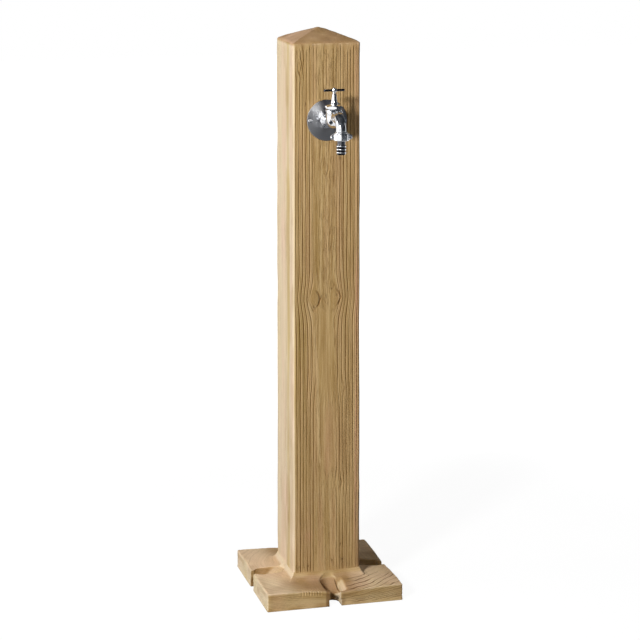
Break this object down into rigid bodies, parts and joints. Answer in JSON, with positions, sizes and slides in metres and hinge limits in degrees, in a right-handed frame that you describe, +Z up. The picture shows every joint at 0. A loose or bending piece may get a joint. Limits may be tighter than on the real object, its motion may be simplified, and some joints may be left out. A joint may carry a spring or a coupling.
{
  "type": "garden tap post",
  "caption": "Square cast-stone garden post with timber texture, shallow roof and slotted base, carrying a screw-down tap with T-bar handle, union nut and barbed hose tail.",
  "frame": {"origin": "centre of the base's underside", "axes": "+Z up along the post, -Y out of the front face that carries the tap, +X to the right seen from the front"},
  "size_m": [0.246, 0.2877, 1],
  "materials": {
    "stone": "cast stone with raised timber grain",
    "chrome": "polished plate",
    "steel": "satin",
    "brass": "machined",
    "copper": "drawn copper tube",
    "rubber": "matt",
    "nylon": "moulded",
    "tape": "wound sealing tape",
    "fibre": "pressed fibre"
  },
  "bodies": {
    "post": {"post_casting": "stone", "supply_pipe": "copper", "inlet_adaptor": "brass", "inlet_olive": "brass", "inlet_nut": "brass", "tap_elbow": "brass", "elbow_screws": "steel", "elbow_plugs": "nylon", "elbow_olive": "brass", "elbow_nut": "brass", "cover_plate": "steel", "cover_screws": "steel", "cover_plugs": "nylon", "tap_body": "chrome", "thread_tape": "tape", "bonnet_gasket": "fibre", "bonnet": "chrome", "gland_packing": "rubber", "gland_nut": "chrome"},
    "valve": {"jumper_valve": "brass", "valve_washer": "rubber", "washer_nut": "brass"},
    "handle": {"spindle": "chrome", "tee_handle": "chrome", "handle_screw": "chrome"},
    "tail": {"hose_tail": "chrome", "tail_gasket": "rubber"},
    "nut": {"union_nut": "chrome"}
  },
  "joints": [
    {"name": "valve_lift", "type": "slide", "parent": "post", "child": "valve", "axis": [0, 0, 1], "range_m": [0, 0.0045]},
    {"name": "handle_turn", "type": "hinge", "parent": "valve", "child": "handle", "pos_m": [0, -0.10691, 0.9042], "axis": [0, 0, 1], "range_deg": [0, 810]},
    {"name": "tail_drop", "type": "slide", "parent": "post", "child": "tail", "axis": [0, 0, -1], "range_m": [0, 0.00635]},
    {"name": "nut_turn", "type": "hinge", "parent": "tail", "child": "nut", "pos_m": [0, -0.15191, 0.832], "axis": [0, 0, -1], "range_deg": [0, 1260]}
  ],
  "couplings": [
    {"joint": "handle_turn", "follows": "valve_lift", "rad_per_m": 3141.6},
    {"joint": "nut_turn", "follows": "tail_drop", "rad_per_m": 3463.1}
  ]
}
